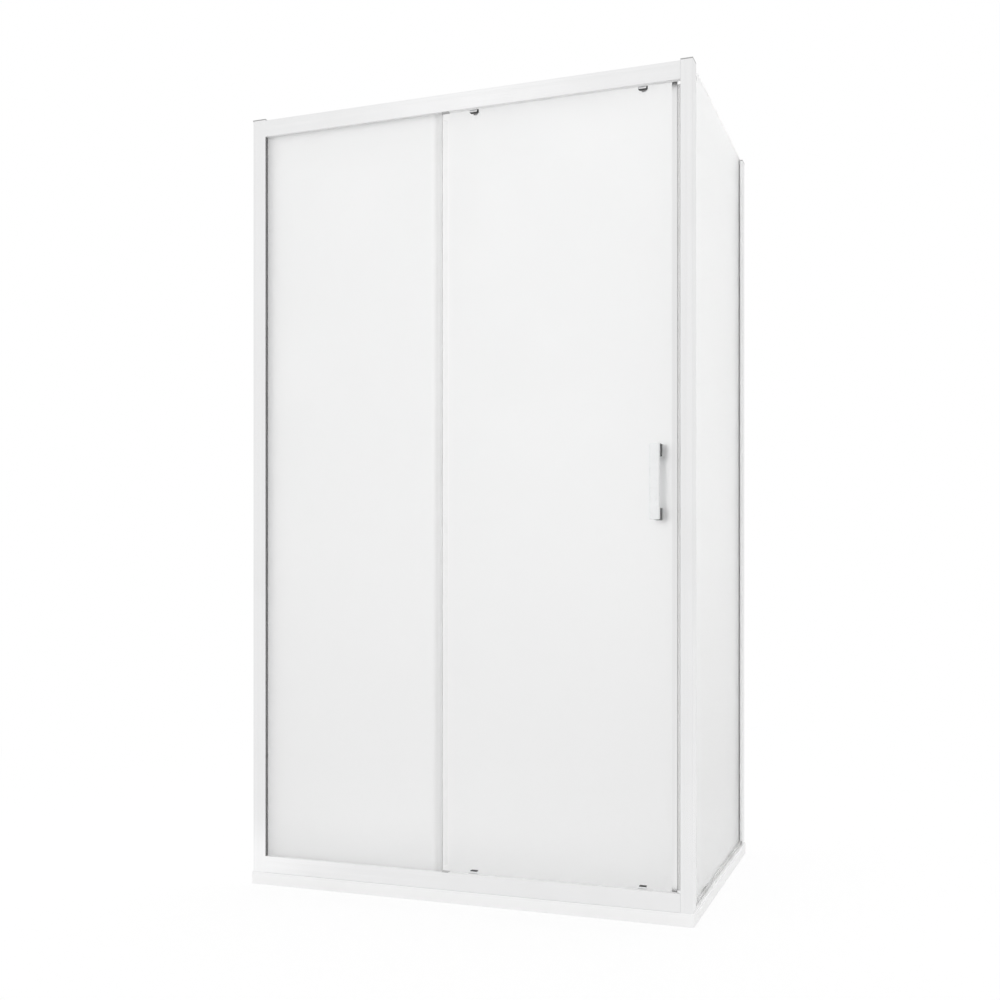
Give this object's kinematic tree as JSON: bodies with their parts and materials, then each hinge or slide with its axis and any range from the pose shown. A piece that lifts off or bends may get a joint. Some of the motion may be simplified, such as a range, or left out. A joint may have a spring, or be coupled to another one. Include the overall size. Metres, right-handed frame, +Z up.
{
  "type": "shower enclosure with sliding door",
  "caption": "Corner shower enclosure on a low tray: fixed and sliding frosted panes in a bright aluminium frame, with a frosted side pane.",
  "frame": {"origin": "middle of the shower tray's underside", "axes": "+Z up; -Y is the side of the sliding door; the side pane is at +X; the room's walls are at -X and +Y"},
  "size_m": [1.2, 0.812, 2.055],
  "materials": {
    "tray": "gloss white, slightly mottled",
    "aluminium": "bright, polished and anodised",
    "glass": "frosted",
    "chrome": "polished chrome plate",
    "clear_seal": "translucent soft plastic",
    "light_gasket": "light grey, matt",
    "dark_gasket": "dark grey, matt",
    "grey_plastic": "satin grey",
    "black_plastic": "satin black",
    "black_rubber": "matt black",
    "steel": "stainless steel",
    "nylon": "natural white nylon"
  },
  "bodies": {
    "enclosure": {"shower_tray": "tray", "wall_profile_left": "aluminium", "frame_profile_left": "aluminium", "profile_cap_left": "grey_plastic", "glazing_gasket_left": "dark_gasket", "header_rail": "aluminium", "bottom_rail": "aluminium", "header_infill": "light_gasket", "rail_infill": "light_gasket", "glazing_gasket_top": "light_gasket", "glazing_gasket_bottom": "light_gasket", "fixed_glass": "glass", "fixed_glass_overlap_seal": "clear_seal", "pane_end_blocks": "grey_plastic", "setting_blocks": "grey_plastic", "frame_screws": "steel", "profile_screws": "steel", "corner_post": "aluminium", "corner_post_cap": "grey_plastic", "strike_magnet_seal": "clear_seal", "side_glass": "glass", "side_gasket_post": "light_gasket", "side_gasket_wall": "light_gasket", "side_sill_seal": "clear_seal", "side_frame_profile": "aluminium", "side_wall_profile": "aluminium", "side_profile_cap": "grey_plastic", "track_stops": "black_rubber"},
    "door": {"door_glass": "glass", "door_trailing_seal": "clear_seal", "door_closing_profile": "aluminium", "door_magnet_seal": "clear_seal", "handle_outer": "chrome", "handle_inner": "chrome", "handle_spacers": "black_plastic", "handle_collars": "chrome", "handle_washers": "clear_seal", "handle_bolts": "steel", "roller_plate_left": "steel", "roller_plate_right": "steel", "roller_bases": "black_plastic", "roller_covers": "chrome", "top_roller_axles": "steel", "roller_bolts": "steel", "roller_sleeves": "clear_seal", "roller_nuts": "chrome", "release_housings": "chrome", "release_spring_left": "steel", "release_spring_right": "steel"},
    "upper_wheel_left": {"top_wheel_left": "nylon", "top_bearing_left": "steel"},
    "release_left": {"release_carrier_left": "black_plastic", "bottom_axle_left": "steel"},
    "lower_wheel_left": {"bottom_wheel_left": "nylon"},
    "upper_wheel_right": {"top_wheel_right": "nylon", "top_bearing_right": "steel"},
    "release_right": {"release_carrier_right": "black_plastic", "bottom_axle_right": "steel"},
    "lower_wheel_right": {"bottom_wheel_right": "nylon"},
    "drain_cover": {"waste_cover": "tray"}
  },
  "joints": [
    {"name": "door_slide", "type": "slide", "parent": "enclosure", "child": "door", "axis": [-1, 0, 0], "range_m": [0, 0.47]},
    {"name": "upper_wheel_left_spin", "type": "hinge", "parent": "door", "child": "upper_wheel_left", "pos_m": [0.034, -0.3752, 2.0288], "axis": [0, 1, 0], "continuous": true},
    {"name": "release_left_press", "type": "slide", "parent": "door", "child": "release_left", "axis": [0, 0, -1], "range_m": [0, 0.003], "stiffness_N_per_m": 1500, "springref_m": -0.004, "deforming": ["release_spring_left"]},
    {"name": "lower_wheel_left_spin", "type": "hinge", "parent": "release_left", "child": "lower_wheel_left", "pos_m": [0.034, -0.3752, 0.0542], "axis": [0, 1, 0], "continuous": true},
    {"name": "upper_wheel_right_spin", "type": "hinge", "parent": "door", "child": "upper_wheel_right", "pos_m": [0.4712, -0.3752, 2.0288], "axis": [0, 1, 0], "continuous": true},
    {"name": "release_right_press", "type": "slide", "parent": "door", "child": "release_right", "axis": [0, 0, -1], "range_m": [0, 0.003], "stiffness_N_per_m": 1500, "springref_m": -0.004, "deforming": ["release_spring_right"]},
    {"name": "lower_wheel_right_spin", "type": "hinge", "parent": "release_right", "child": "lower_wheel_right", "pos_m": [0.4712, -0.3752, 0.0542], "axis": [0, 1, 0], "continuous": true},
    {"name": "waste_cover_lift", "type": "slide", "parent": "enclosure", "child": "drain_cover", "axis": [0, 0, 1], "range_m": [0, 0.06]}
  ],
  "couplings": [
    {"joint": "upper_wheel_left_spin", "follows": "door_slide", "rad_per_m": -111.11},
    {"joint": "lower_wheel_left_spin", "follows": "door_slide", "rad_per_m": 111.11},
    {"joint": "upper_wheel_right_spin", "follows": "door_slide", "rad_per_m": -111.11},
    {"joint": "lower_wheel_right_spin", "follows": "door_slide", "rad_per_m": 111.11}
  ]
}
